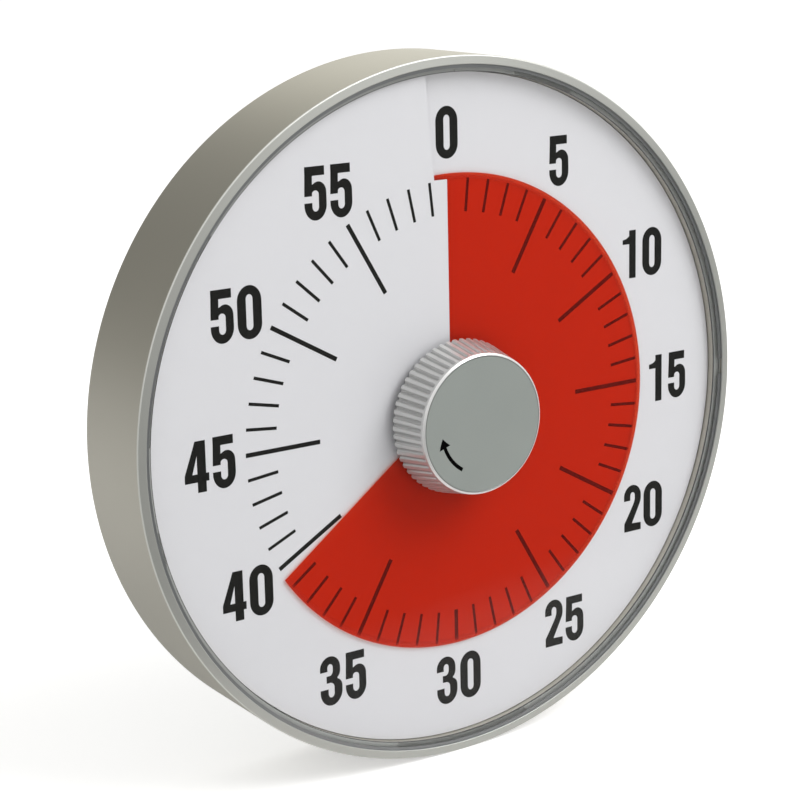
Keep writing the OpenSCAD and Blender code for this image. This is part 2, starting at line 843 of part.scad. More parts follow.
module switch_slider() {
    at = [-switch_travel / 2, switch_y];
    stem_half = [switch_stem_half, switch_slot_w / 2 - air];
    cap_back = back_z + seat_gap;
    cap_front = back_z + switch_recess_t - seat_gap;
    color(BLACK) placed() difference() {
        union() {
            block(switch_cap / 2, at, cap_back, cap_front);
            block(stem_half, at, cap_front - overlap, cover_in + switch_track_h - air);
        }
        for (k = [-1:1])
            block([switch_grip[0], switch_grip[1]] / 2, at + [k * switch_grip_step, 0],
                back_z, cap_back + switch_grip[2]);
    }
}

// ---- Battery ----

module battery_cell() {
    color([0.30, 0.32, 0.34]) placed() translate([cell_end, -battery_drop, cell_z])
        rotate([0, -90, 0]) {
            cylinder(r = cell_button_r, h = cell_button + overlap, $fn = 48);
            translate([0, 0, cell_button])
                cylinder(r = cell_d / 2, h = cell_l - cell_button, $fn = 96);
        }
}

// Contact tag at one end of the bay, on the left at -1 or on the right at 1
module contact_tag(side) {
    block([contact_t / 2, contact_half_w], [side * (bay_half_w - contact_t / 2), -battery_drop],
        cell_z - contact_down, bay_roof);
}

module contact_plate() {
    color(STEEL) placed() contact_tag(1);
}

// Cone-shaped coil between the tag and the flat end of the cell
module contact_spring() {
    turns = 4;
    rings = 12 * turns;
    sides = 6;
    wire_r = 0.35;
    wide_r = 5;
    narrow_r = 3;
    far = -bay_half_w + contact_t + wire_r / 2;
    near = cell_end - cell_l - wire_r - fit_gap;
    points = [
        for (i = [0:rings], k = [0:sides - 1])
            let (u = i / rings, a = 360 * turns * u, b = 360 * k / sides)
            let (r = wide_r + (narrow_r - wide_r) * u + wire_r * cos(b))
            let (x = far + (near - far) * u + wire_r * sin(b))
                [x, -battery_drop + r * cos(a), cell_z + r * sin(a)]
    ];
    faces = concat(
        [for (i = [0:rings - 1], k = [0:sides - 1], half = [0, 1])
            let (n = (k + 1) % sides, p = i * sides)
                half == 0 ? [p + k, p + sides + n, p + sides + k] : [p + k, p + n, p + sides + n]],
        [[for (k = [sides - 1:-1:0]) k]],
        [[for (k = [0:sides - 1]) rings * sides + k]]
    );
    color(STEEL) placed() {
        contact_tag(-1);
        polyhedron(points = points, faces = faces);
    }
}

// Two insulated wires from the contacts up to the board's edges
module battery_leads() {
    lead_r = 0.7;
    run_z = board_back + board_t / 2;
    board_y = -12;
    lead_out = 2;
    outside = bay_half_w + bay_wall;
    bend_at = outside + lead_out;
    color(RED) placed() for (side = [-1, 1]) wire([
        [side * (outside + fit_gap), -battery_drop, run_z],
        [side * bend_at, -battery_drop, run_z],
        [side * bend_at, board_y, run_z],
        [side * (board_w / 2 + fit_gap), board_y, run_z]
    ], lead_r);
}

module battery_door() {
    at = [0, -battery_drop];
    tab_y = bay_half_h - air - door_tab_room;
    color(SILVER) placed() difference() {
        union() {
            block([door_half_w - air, door_half_h - air], at, back_z, door_front - seat_gap);
            for (x = [-door_tab_at, door_tab_at], s = [-1, 1])
                block(door_tab / 2, [x, at[1] + s * tab_y],
                    door_front - door_tab_root, door_front + door_tab_h);
        }
        for (k = [-3:3])
            block([door_grip[0], door_grip[1]] / 2, [k * door_grip_step, at[1]],
                back_z - overlap, back_z + door_grip[2]);
    }
}

// ---- Back ----

module keyhole_window() {
    translate([0, hanger_mid, 0]) {
        block([window_r, window_rise], [0, 0], back_z - overlap, cover_in + overlap);
        for (s = [-1, 1]) translate([0, s * window_rise])
            disc(window_r, back_z - overlap, cover_in + overlap, fn = 64);
    }
}

module bay_walls() {
    block([bay_half_w + bay_wall, bay_half_h + bay_wall], [0, -battery_drop], back_z, bay_roof + bay_wall);
}

module back_cover() {
    recess = back_z + switch_recess_t;
    color(SILVER) placed() difference() {
        union() {
            disc(cover_r, back_z, cover_in, fn = 240);
            bay_walls();
            around(magnet_turns, magnet_ring) disc(magnet_pad_r, cover_in - overlap, magnet_pad_z, fn = 64);
            around(screw_turns, screw_ring) disc(screw_boss_r, cover_in - overlap, boss_seam, fn = 48);
            for (s = [-1, 1]) translate([0, hanger_mid + s * hanger_peg]) {
                disc(hanger_peg_r, cover_in - overlap, peg_head + overlap, fn = 32);
                disc(hanger_peg_r + peg_head_over, peg_head, peg_head + peg_head_t, fn = 32);
            }
        }
        block([bay_half_w, bay_half_h], [0, -battery_drop], back_z - overlap, bay_roof);
        block([door_half_w, door_half_h], [0, -battery_drop], back_z - overlap, door_front);
        around(magnet_turns, magnet_ring) disc(magnet_r + seat_gap, back_z - overlap, magnet_t, fn = 64);
        around(screw_turns, screw_ring) {
            disc(screw_r + air, back_z - overlap, boss_seam + overlap, fn = 48);
            disc(screw_head_r + air, back_z - overlap, back_z + screw_head_t + air, fn = 48);
        }
        keyhole_window();
        block(switch_cap / 2 + [switch_travel / 2 + air, air], [0, switch_y], back_z - overlap, recess);
        block(switch_run, [0, switch_y], back_z, cover_in + overlap);
        around([30:60:330], sound_hole_ring)
            disc(sound_hole_r, back_z - overlap, cover_in + overlap, fn = 24);
        disc(sound_hole_r, back_z - overlap, cover_in + overlap, fn = 24);
    }
}

module cover_screws() {
    head_front = back_z + screw_head_t + air;
    color(STEEL) placed() around(screw_turns, screw_ring) difference() {
        union() {
            disc(screw_head_r, head_front - screw_head_t, head_front, fn = 48);
            disc(screw_r, head_front, screw_end, fn = 48);
        }
        for (turn = [0, 90]) rotate([0, 0, turn])
            block([screw_r, screw_slot_w / 2], [0, 0],
                head_front - screw_head_t - overlap, head_front - screw_head_t + screw_slot_d);
    }
}

module magnets() {
    color(STEEL) placed() around(magnet_turns, magnet_ring) disc(magnet_r, 0, magnet_t, fn = 64);
}

module hanger_plate() {
    color(STEEL) placed() translate([0, 0, cover_in]) linear_extrude(height = hanger_t) difference() {
        translate([-hanger_half_w, hanger_mid - hanger_half_h])
            square([2 * hanger_half_w, 2 * hanger_half_h]);
        translate([0, keyhole_y]) circle(r = key_r, $fn = 64);
        translate([0, keyhole_y + key_rise]) circle(r = key_slot_r, $fn = 48);
        translate([-key_slot_r, keyhole_y]) square([keyhole_slot, key_rise]);
        for (s = [-1, 1]) translate([0, hanger_mid + s * hanger_peg])
            circle(r = hanger_peg_r + fit_gap, $fn = 32);
    }
}

housing_ring();
front_lens();
retaining_ring();
dial_carrier();
dial_sheet();
film_hub();
time_film();
knob();
knob_cap();
set_shaft();
friction_spring();
centre_wheel();
third_wheel();
third_pinion();
motor_pinion();
gear_motor();
shaft_bush();
bush_nut();
movement_front();
movement_back();
movement_screws();
circuit_board();
buzzer();
switch_body();
switch_slider();
battery_cell();
contact_plate();
contact_spring();
battery_leads();
battery_door();
back_cover();
cover_screws();
magnets();
hanger_plate();
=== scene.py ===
import math

import bmesh
import bpy
import numpy as np
from mathutils import Matrix, Vector


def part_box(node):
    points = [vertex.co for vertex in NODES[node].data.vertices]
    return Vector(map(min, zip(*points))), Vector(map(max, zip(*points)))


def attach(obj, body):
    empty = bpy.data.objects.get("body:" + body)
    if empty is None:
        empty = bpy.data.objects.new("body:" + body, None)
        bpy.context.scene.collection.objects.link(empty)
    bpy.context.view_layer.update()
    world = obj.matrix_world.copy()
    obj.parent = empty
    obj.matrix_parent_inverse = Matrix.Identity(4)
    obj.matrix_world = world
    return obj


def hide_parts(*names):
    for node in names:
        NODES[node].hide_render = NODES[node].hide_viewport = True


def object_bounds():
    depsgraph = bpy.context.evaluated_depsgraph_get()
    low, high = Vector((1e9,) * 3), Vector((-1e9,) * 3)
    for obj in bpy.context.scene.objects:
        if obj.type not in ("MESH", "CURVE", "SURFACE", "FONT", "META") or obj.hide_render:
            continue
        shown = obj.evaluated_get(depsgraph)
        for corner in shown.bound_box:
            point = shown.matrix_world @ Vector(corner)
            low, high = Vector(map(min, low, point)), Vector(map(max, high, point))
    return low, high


bl_info = {
    "name": "Visual Countdown Timer",
    "version": (1, 0, 0),
    "blender": (4, 5, 0),
    "location": "View3D > Sidebar > Timer",
    "description": "Builds the looks of a classroom countdown timer around its packed frame",
    "category": "Add Mesh",
}

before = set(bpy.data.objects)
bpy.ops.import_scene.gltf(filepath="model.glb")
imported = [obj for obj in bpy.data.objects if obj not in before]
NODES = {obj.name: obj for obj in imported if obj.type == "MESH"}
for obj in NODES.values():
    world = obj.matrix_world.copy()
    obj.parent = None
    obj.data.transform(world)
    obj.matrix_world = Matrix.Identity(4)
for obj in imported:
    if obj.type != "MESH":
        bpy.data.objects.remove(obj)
CAD_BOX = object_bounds()
MM = 0.001

# Sizes in millimetres, read from the frame. AXIS_UP is the shaft's height over the floor, and BACK the
# place of the plane that the magnets touch. The others that aren't radii are depths forward from it.
RING_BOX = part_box("housing_ring")
AXIS_UP = (RING_BOX[0].z + RING_BOX[1].z) / 2 / MM
BACK = CAD_BOX[1][1] / MM
DRUM_R = (RING_BOX[1].z - RING_BOX[0].z) / 2 / MM
DRUM_BACK = BACK - RING_BOX[1].y / MM
DRUM_FRONT = BACK - RING_BOX[0].y / MM
LENS_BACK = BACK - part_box("front_lens")[1].y / MM
LENS_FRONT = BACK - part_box("front_lens")[0].y / MM
KNOB_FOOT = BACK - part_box("knob")[1].y / MM
KNOB_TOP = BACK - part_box("knob")[0].y / MM
CAP_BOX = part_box("knob_cap")
CAP_BACK = BACK - CAP_BOX[1].y / MM
CAP_R = (CAP_BOX[1].x - CAP_BOX[0].x) / 2 / MM

# Degrees on the dial for one minute
MINUTE = 6.0


def linear(r, g, b):
    """A colour as read off a screen, 0 to 255, turned to the linear light that shaders use."""
    c = np.array([r, g, b]) / 255
    return tuple(np.where(c <= 0.04045, c / 12.92, ((c + 0.055) / 1.055) ** 2.4).round(4))


# ---- What a user would change ----


def length(name, description, default):
    """A size in millimetres."""
    return bpy.props.FloatProperty(name=name, description=description, default=default, min=0.0)


def number(name, description, default):
    """A plain number, such as an angle in degrees or a share."""
    return bpy.props.FloatProperty(name=name, description=description, default=default)


def colour(name, description, default):
    """A colour in linear light."""
    return bpy.props.FloatVectorProperty(
        name=name, description=description, default=default, subtype="COLOR", size=3, min=0, max=1)


class TimerSizes(bpy.types.PropertyGroup):
    """Sizes of what is printed, folded or milled finer than in the frame, in millimetres."""

    lip: length("Lip", "Width of the drum's lip around the lens", 3.9)
    lip_round: length("Lip rounding", "Rounding between the drum's side and its lip", 0.8)
    lip_slope: number("Lip slope", "Angle at which the lip falls towards its outer edge, in degrees", 8.5)
    wall: length("Wall", "Thickness of the drum's side", 2.4)
    pitch: length("Climb", "Step that the dial sheet climbs in one turn", 2.6)
    sheet_height: length("Sheet height", "Middle of the sheet at 12 o'clock, before the magnets", 39.325)
    sheet_thickness: length("Sheet thickness", "Thickness of the dial sheet", 0.5)
    sheet_hole: length("Sheet hole", "Radius of the hole in the dial sheet", 15.0)
    sheet_radius: length("Sheet radius", "Outer radius of the dial sheet", 142.3)
    slit_offset: length("Slit offset", "Distance of the slit from the upright line", 1.7)
    tab_height: length("Tab height", "How much of the film shows above the flap", 1.8)
    flap_end: number("Flap end", "Angle before 12 o'clock at which the outer flap ends, in degrees", 4.6)
    under_flap: number("Under the flap", "Angle that the sheet reaches on under its flap, in degrees", 16.0)
    film_radius: length("Film radius", "Outer radius of the red film", 101.4)
    film_hub: length("Film hole", "Radius of the hub that carries the film", 12.05)
    film_thickness: length("Film thickness", "Thickness of the red film", 0.25)
    film_edge: length("Film edge", "Distance of the film's leading edge from its radius", 5.9)
    minutes_set: number("Minutes set", "Minutes that the film shows at rest", 38.9)
    mark_outer: length("Mark end", "Radius at which the minute marks end", 100.0)
    mark_inner: length("Mark start", "Radius at which a one-minute mark starts", 86.0)
    long_inner: length("Long mark start", "Radius at which a five-minute mark starts", 65.6)
    mark_width: length("Mark width", "Width of a one-minute mark", 1.35)
    long_width: length("Long mark width", "Width of a five-minute mark", 1.9)
    grooves: bpy.props.IntProperty(
        name="Grooves", description="Grip grooves around the knob", default=58, min=12, max=90)
    groove_radius: length("Groove radius", "Radius of the cutter that mills one groove", 0.95)
    groove_depth: length("Groove depth", "Depth of one groove", 0.85)
    collar: length("Collar", "Smooth part of the knob between grooves and face", 2.6)
    arrow_ring: number("Arrow ring", "Radius of the arrow's arc as a share of the face", 0.69)


class TimerColours(bpy.types.PropertyGroup):
    """Colours of the finishes, in linear light."""

    sheet: colour("Dial sheet", "White of the dial sheet", linear(219, 219, 224))
    ink: colour("Ink", "Black of the marks and numerals", linear(20, 20, 18))
    film: colour("Film", "What the film lets through on each of its faces", (0.968, 0.41, 0.24))
    drum: colour("Drum", "Silver lacquer of the drum's side", linear(196, 193, 182))
    # The lip's cooler tone is a painted reflection of the light in front of the drum.
    lip: colour("Lip", "Silver lacquer of the drum's lip", linear(190, 191, 185))
    # The edge colour is a painted highlight along the drum's outer corner.
    edge: colour("Edge", "Lacquer rubbed bright along the drum's corner", linear(218, 219, 213))
    knob: colour("Knob", "Silver lacquer of the knob", linear(206, 206, 204))
    # The knob rim colour is a painted highlight on the chamfer around the knob's face.
    rim: colour("Knob rim", "Bright rim around the knob's face", linear(240, 240, 238))
    face: colour("Knob face", "Satin disc in the knob's face", linear(170, 176, 171))
    cover: colour("Back", "Textured silver moulding of the back", linear(158, 160, 156))
    moulding: colour("Moulding", "White moulding of the carrier", linear(222, 222, 220))
    black: colour("Black moulding", "Black moulding of the movement", linear(34, 34, 36))
    steel: colour("Steel", "Plain steel", linear(186, 188, 190))
    brass: colour("Brass", "Turned brass", linear(214, 178, 110))
    floor: colour("Floor", "Pale floor", (0.80, 0.80, 0.80))


def sizes():
    return bpy.context.scene.timer_sizes


def colours():
    return bpy.context.scene.timer_colours


# ---- Shader maths ----


class Shade:
    """One socket of a finish. Arithmetic on it adds Math nodes."""

    def __init__(self, finish, socket):
        self.finish, self.socket = finish, socket

    def __add__(self, other):
        return self.finish.sum("ADD", self, other)

    def __sub__(self, other):
        return self.finish.sum("SUBTRACT", self, other)

    def __rsub__(self, other):
        return self.finish.sum("SUBTRACT", other, self)

    def __mul__(self, other):
        return self.finish.sum("MULTIPLY", self, other)

    def __lt__(self, other):
        return self.finish.sum("LESS_THAN", self, other)

    def __gt__(self, other):
        return self.finish.sum("GREATER_THAN", self, other)


class Finish:
    """A material, or the studio's world, and the nodes that make it."""

    def __init__(self, name, world=False):
        self.material = (bpy.data.worlds if world else bpy.data.materials).new(name)
        self.material.use_nodes = True
        self.tree = self.material.node_tree
        self.tree.nodes.clear()
        self.out = self.tree.nodes.new("ShaderNodeOutputWorld" if world else "ShaderNodeOutputMaterial")

    def node(self, kind, settings=None, **inputs):
        """Adds a node, with its settings first and then the values or links of its sockets. A socket is
        named by its label with _ for a space, or by its number after an s. Returns its outputs."""
        node = self.tree.nodes.new(kind)
        for key, value in (settings or {}).items():
            setattr(node, key, value)
        for key, value in inputs.items():
            self.feed(node.inputs[int(key[1:]) if key[1:].isdigit() else key.replace("_", " ")], value)
        return [Shade(self, s) for s in node.outputs]

    def feed(self, socket, value):
        """Links a socket to another, or sets its value."""
        if isinstance(value, Shade):
            self.tree.links.new(value.socket, socket)
        elif socket.type == "RGBA":
            socket.default_value = (*tuple(value)[:3], 1)
        else:
            socket.default_value = value

    def sum(self, operation, *values):
        return self.node(
            "ShaderNodeMath", {"operation": operation}, **{f"s{i}": v for i, v in enumerate(values)})[0]

    def place(self):
        """The point on the object, in metres."""
        return self.node("ShaderNodeTexCoord")[3]

    def axes(self):
        """Across, up from the shaft and towards the viewer, as three numbers in metres."""
        x, y, z = self.node("ShaderNodeSeparateXYZ", s0=self.place())
        return x, z - AXIS_UP * MM, y * -1

    def from_axis(self):
        """Distance from the dial's axis, in metres."""
        across, up, _ = self.axes()
        return self.sum("SQRT", across * across + up * up)

    def noise(self, scale, detail=2.0, roughness=0.5):
        return self.node(
            "ShaderNodeTexNoise", {"noise_dimensions": "3D"}, Vector=self.place(), Scale=scale,
            Detail=detail, Roughness=roughness)[0]

    def ramp(self, value, start, end, kind="LINEAR"):
        """0 where the value is before the start, 1 past the end, and in between a line or a smooth step."""
        return self.node(
            "ShaderNodeMapRange", {"interpolation_type": kind}, Value=value, s1=start, s2=end)[0]

    def blend(self, mask, first, second):
        """Colour that goes from the first to the second as mask goes from 0 to 1."""
        node = self.tree.nodes.new("ShaderNodeMix")
        node.data_type = "RGBA"
        sockets = [s for s in node.inputs if s.enabled]
        for socket, value in zip(sockets, (mask, first, second)):
            self.feed(socket, value)
        return Shade(self, [s for s in node.outputs if s.enabled][0])

    def tint(self, colour, other):
        """Product of two colours."""
        return self.node("ShaderNodeVectorMath", {"operation": "MULTIPLY"}, s0=colour, s1=other)[0]

    def bump(self, height, distance, strength=1.0):
        return self.node("ShaderNodeBump", None, Height=height, Distance=distance, Strength=strength)[0]

    def mirrored(self, ior):
        """Share of light that a clear sheet mirrors on the side that faces the eye. Light leaves through
        its far side whole, because it isn't bent on its way."""
        far_side = self.node("ShaderNodeNewGeometry")[6]
        return self.node("ShaderNodeFresnel", None, IOR=ior)[0] * (1 - far_side)

    def skin(self, **inputs):
        """The common shader, and its end in the material."""
        made = self.node("ShaderNodeBsdfPrincipled", None, **inputs)[0]
        return self.end(made)

    def end(self, shader):
        self.tree.links.new(shader.socket, self.out.inputs[0])
        return self.material


def moulded(name, tone, rough, grain=1600.0, depth=0.02, coat=0.0):
    """Moulded plastic with the fine pits of a spark-eroded tool."""
    f = Finish(name)
    pits = f.noise(grain, 3.0, 0.6)
    slow = f.noise(20.0, 2.0, 0.5)
    dark = tuple(c * 0.9 for c in tone)
    light = tuple(min(1.0, c * 1.06) for c in tone)
    return f.skin(
        Base_Color=f.blend(pits * 0.5 + slow * 0.5, dark, light),
        Roughness=(pits - 0.5) * 0.15 + rough, Coat_Weight=coat,
        Normal=f.bump(pits, depth * MM, 0.7))


def turned_metal(name, tone, rough, around=True):
    """Metal with the fine rings that a lathe leaves, or with a plain grain."""
    f = Finish(name)
    if around:
        rings = f.sum("SINE", f.from_axis() * 9000.0 + f.noise(900.0) * 6.0) * 0.5 + 0.5
    else:
        rings = f.noise(2600.0, 4.0, 0.7)
    stain = f.noise(160.0, 3.0, 0.6)
    dark = tuple(c * 0.78 for c in tone)
    return f.skin(
        Base_Color=f.blend(rings * 0.35 + stain * 0.65, dark, tone), Metallic=1.0,
        Roughness=rings * 0.08 + stain * 0.14 + rough, Normal=f.bump(rings, 0.002 * MM, 0.5))


# ---- Meshes ----


def on_dial(x, y, z):
    """Points in the row frame, in metres, from millimetres across, up from the shaft and out from the
    magnets' plane."""
    x, y, z = np.broadcast_arrays(x, y, z)
    return np.stack([x, BACK - z, AXIS_UP + y], axis=-1) * MM


def piece(name, points, faces, body, slot, material, smooth=True, crease=None, merge=False):
    """One mesh with its place in its points, riding on a body."""
    mesh = bpy.data.meshes.new(name)
    mesh.from_pydata(np.asarray(points).reshape(-1, 3), [], [tuple(f) for f in np.asarray(faces).tolist()])
    if merge:
        work = bmesh.new()
        work.from_mesh(mesh)
        bmesh.ops.remove_doubles(work, verts=work.verts, dist=1e-6)
        work.to_mesh(mesh)
        work.free()
    mesh.update()
    if smooth:
        mesh.shade_smooth()
        if crease:
            mesh.set_sharp_from_angle(angle=math.radians(crease))
    made = bpy.data.objects.new(name, mesh)
    bpy.context.scene.collection.objects.link(made)
    mesh.materials.append(material)
    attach(made, body)
    return made


def quads(rows, columns, wrap=False):
    """Faces of a grid of points, row after row, joined across the last column where it wraps."""
    across = columns if wrap else columns - 1
    i, j = np.meshgrid(np.arange(rows - 1), np.arange(across), indexing="ij")
    k = (j + 1) % columns
    return np.stack([i * columns + j, i * columns + k, (i + 1) * columns + k, (i + 1) * columns + j],
                    axis=-1).reshape(-1, 4)


def slab(front, back):
    """A closed plate between two grids of points: both sides, and a strip along each edge."""
    rows, columns = front.shape[:2]
    size = rows * columns
    face = quads(rows, columns)
    index = np.arange(size).reshape(rows, columns)
    edge = np.concatenate([index[0, :-1], index[:-1, -1], index[-1, :0:-1], index[:0:-1, 0]])
    following = np.roll(edge, -1)
    rim = np.stack([edge, following, following + size, edge + size], axis=-1)
    points = np.concatenate([front.reshape(-1, 3), back.reshape(-1, 3)])
    return points, np.concatenate([face[:, ::-1], face + size, rim])


def turned(profile, steps):
    """A profile of (radius, height) points carried around the dial's axis."""
    turn = np.linspace(0, 2 * math.pi, steps, endpoint=False)
    r, z = np.array(profile, float).T
    x = r[:, None] * np.sin(turn)
    y = r[:, None] * np.cos(turn)
    return on_dial(x, y, z[:, None] + 0 * x), quads(len(r), steps, wrap=True)


def level(depth):
    """A depth in millimetres from the magnets' plane, as the finishes' third axis gives it."""
    return (depth - BACK) * MM


def bend(centre, rx, ry, first, last, steps=12):
    """Points on an elliptical arc, from the first to the last angle in degrees."""
    a = np.radians(np.linspace(first, last, steps))
    return np.stack([centre[0] + rx * np.cos(a), centre[1] + ry * np.sin(a)], axis=-1)


# ---- Drum and lens ----


# Width of the ledge that carries the lens
LEDGE = 3.0


def drum_profile():
    """The ring's section, from the back edge up the outside, around the lip, down into the pocket and
    back along the inside: quarter circles on its corners, and a flat lip that falls a little towards
    its outer edge. The ledge carries the lens, and the shoulder stops the back cover."""
    s = sizes()
    pocket = DRUM_R - s.lip
    inside = DRUM_R - s.wall
    ledge = pocket - LEDGE
    back_round, inner_round, margin = 1.0, 0.3, 1.0
    groove_depth, groove_width, ledge_depth = 1.0, 0.9, 6.35
    shoulder_at, shoulder_width = 2.5, 4.0
    groove_end = LENS_FRONT + groove_width
    ledge_back = LENS_BACK - ledge_depth
    shoulder_back = DRUM_BACK + shoulder_at
    shoulder_front = shoulder_back + shoulder_width
    slope = math.radians(s.lip_slope)
    lip_start = pocket + inner_round
    round_at = DRUM_R - s.lip_round
    round_end = round_at + s.lip_round * math.sin(slope)
    fall = (round_end - lip_start) * math.tan(slope)
    round_up = DRUM_FRONT - fall - s.lip_round * math.cos(slope)
    outside = bend((DRUM_R - back_round, DRUM_BACK + back_round), back_round, back_round, -90, 0, 8)
    side = np.linspace((DRUM_R, DRUM_BACK + back_round + margin), (DRUM_R, round_up - margin), 9)
    outer = bend((round_at, round_up), s.lip_round, s.lip_round, 0, 90 - s.lip_slope, 9)
    share = np.array([0.02, 0.35, 0.65, 0.98])[:, None]
    lip = outer[-1] + (np.array([lip_start, DRUM_FRONT]) - outer[-1]) * share
    inner = bend((lip_start, DRUM_FRONT - inner_round), inner_round, inner_round, 90, 180, 5)
    inside_walls = [
        (pocket, groove_end), (pocket + groove_depth, groove_end),
        (pocket + groove_depth, LENS_FRONT), (pocket, LENS_FRONT), (pocket, LENS_BACK), (ledge, LENS_BACK),
        (ledge, ledge_back), (inside, ledge_back), (inside, shoulder_front), (pocket, shoulder_front),
        (pocket, shoulder_back), (inside, shoulder_back), (inside, DRUM_BACK),
        (DRUM_R - back_round, DRUM_BACK)]
    return np.concatenate([outside, side, outer, lip, inner, np.array(inside_walls)])


def drum_finish():
    """Silver lacquer of the drum: warm on its side, cooler on the lip as a painted reflection of the light
    in front, and with a painted highlight along the outer corner, with fine flakes and a slow drift. The
    ledge behind the lens is paler, between two dark painted shadow lines."""
    f = Finish("drum_lacquer")
    c = colours()
    lip_depth, highlight_width, highlight_depth = 0.6, 0.5, 0.95
    ledge_depth, shadow_line_start, slack = 0.6, 1.25, 0.1
    # The second tone is the dark of the painted shadow lines along the ledge's edges.
    ledge_tone, shadow_line_tone = linear(172, 174, 172), linear(84, 85, 84)
    fine = f.noise(5200.0, 2.0, 0.6)
    slow = f.noise(14.0, 3.0, 0.5)
    away, out = f.from_axis(), f.axes()[2]
    pocket = DRUM_R - sizes().lip
    # The lip mask gives the lip its cooler tone, a painted reflection of the light in front.
    lip = out > level(DRUM_FRONT - lip_depth)
    # Painted highlight along the outer corner of the lip
    corner = (away > (DRUM_R - highlight_width) * MM) * (out > level(DRUM_FRONT - highlight_depth))
    ledge = (away < (pocket + slack) * MM) * (out > level(LENS_BACK - ledge_depth))
    # The dark lines along both edges of the ledge are painted shadow lines.
    off_middle = f.sum("ABSOLUTE", away - (pocket - LEDGE / 2) * MM)
    shadow_line = ledge * (off_middle > shadow_line_start * MM) * (out < level(LENS_BACK + slack))
    tone = f.blend(corner, f.blend(lip, tuple(c.drum), tuple(c.lip)), tuple(c.edge))
    shade = (fine - 0.5) * 0.22 + (slow - 0.5) * 0.12 + 0.5
    flakes = f.tint(tone, f.blend(shade, (0.82, 0.82, 0.82), (1.16, 1.16, 1.16)))
    return f.skin(
        Base_Color=f.blend(shadow_line, f.blend(ledge, flakes, ledge_tone), shadow_line_tone),
        Metallic=0.8 - corner * 0.35 - ledge * 0.5,
        Roughness=(fine - 0.5) * 0.12 + (slow - 0.5) * 0.08 + 0.42,
        Normal=f.bump(fine, 0.004 * MM, 0.6))


def lens_finish():
    """Clear acrylic: light goes straight through, and the side towards the eye mirrors the share that
    Fresnel's law gives. The index is below acrylic's, for a weaker veil."""
    f = Finish("clear_acrylic")
    clear = f.node("ShaderNodeBsdfTransparent", None, Color=(0.99, 0.99, 0.985))[0]
    mirror = f.node("ShaderNodeBsdfGlossy", None, Color=(1, 1, 1), Roughness=0.015)[0]
    return f.end(f.node("ShaderNodeMixShader", None, s0=f.mirrored(1.3), s1=clear, s2=mirror)[0])


def finish_node(names, material):
    """Gives nodes of the frame a finish in place of the plain one they came with."""
    for name in names:
        data = NODES[name].data
        data.materials.clear()
        data.materials.append(material)


# ---- Dial ----


def sheet_front(x, y):
    """Height of the printed side at a point of the dial: it climbs with the angle from 12 o'clock, and
    the piece between the flap's end and 12 o'clock still belongs to the start of the climb."""
    s = sizes()
    turn = np.degrees(np.arctan2(x, y)) % 360
    start = (turn > 360 - s.flap_end) & (np.hypot(x, y) > s.film_radius - s.tab_height)
    turn = np.where(start, turn - 360, turn)
    return s.sheet_height + s.pitch * turn / 360 + s.sheet_thickness / 2


def climbing_plate(radii, first, last, middle, thickness, steps):
    """A plate that climbs one pitch a turn. At each radius it runs from a first to a last angle, and its
    height is the middle plus the pitch times the turn."""
    s = sizes()
    share = np.linspace(0, 1, steps)[:, None]
    turn = first[None, :] + (last - first)[None, :] * share
    x, y = radii * np.sin(np.radians(turn)), radii * np.cos(np.radians(turn))
    z = middle + s.pitch * turn / 360
    return slab(on_dial(x, y, z + thickness / 2), on_dial(x, y, z - thickness / 2))


def paper_finish():
    """White plastic sheet with a faint tooth and a slow drift of its white."""
    f = Finish("white_sheet")
    tooth = f.noise(1400.0, 3.0, 0.6)
    slow = f.noise(6.0, 2.0, 0.5)
    tone = colours().sheet
    return f.skin(
        Base_Color=f.blend(tooth * 0.4 + slow * 0.6, tuple(c * 0.975 for c in tone), tone),
        Roughness=tooth * 0.1 + 0.45, Normal=f.bump(tooth, 0.004 * MM, 0.4))


def ink_finish():
    """Screen-printed ink: near black, with a slightly uneven gloss."""
    f = Finish("black_ink")
    uneven = f.noise(900.0, 3.0, 0.6)
    tone = colours().ink
    return f.skin(
        Base_Color=f.blend(uneven, tuple(c * 0.7 for c in tone), tuple(c * 1.3 for c in tone)),
        Roughness=uneven * 0.15 + 0.45, Specular_IOR_Level=0.15)


# Middle of the print, across and up from the shaft, and its height over the sheet
PRINT_AT = (0.05, -0.84)
PRINT_LIFT = 0.02


def minute_marks():
    """One rectangle a minute, straight along its radius: long and wide on each fifth minute, short but
    wide at the half hour, and none at the slit."""
    s = sizes()
    minute = np.arange(1, 60)
    fifth = minute % 5 == 0
    half = np.where(fifth, s.long_width, s.mark_width) / 2
    inner = np.where(fifth & (minute != 30), s.long_inner, s.mark_inner)
    turn = np.radians(minute * MINUTE)
    out = np.stack([np.sin(turn), np.cos(turn)], -1)
    side = np.stack([np.cos(turn), -np.sin(turn)], -1)
    rows, columns = 5, 2
    along = np.linspace(0, 1, rows)
    reach = inner[:, None] + (s.mark_outer - inner)[:, None] * along
    spot = reach[:, :, None, None] * out[:, None, None, :] \
        + (half[:, None] * np.array([-1, 1]))[:, None, :, None] * side[:, None, None, :]
    x, y = spot[..., 0] + PRINT_AT[0], spot[..., 1] + PRINT_AT[1]
    points = on_dial(x, y, sheet_front(x, y) + PRINT_LIFT)
    start = np.arange(len(minute)) * rows * columns
    faces = (quads(rows, columns)[None] + start[:, None, None]).reshape(-1, 4)
    return points.reshape(-1, 3), faces[:, ::-1]


def line(*points):
    """Straight steps from point to point."""
    return np.array(points, float)


def join(*parts):
    """One edge made of lines and bends."""
    return np.concatenate(parts)


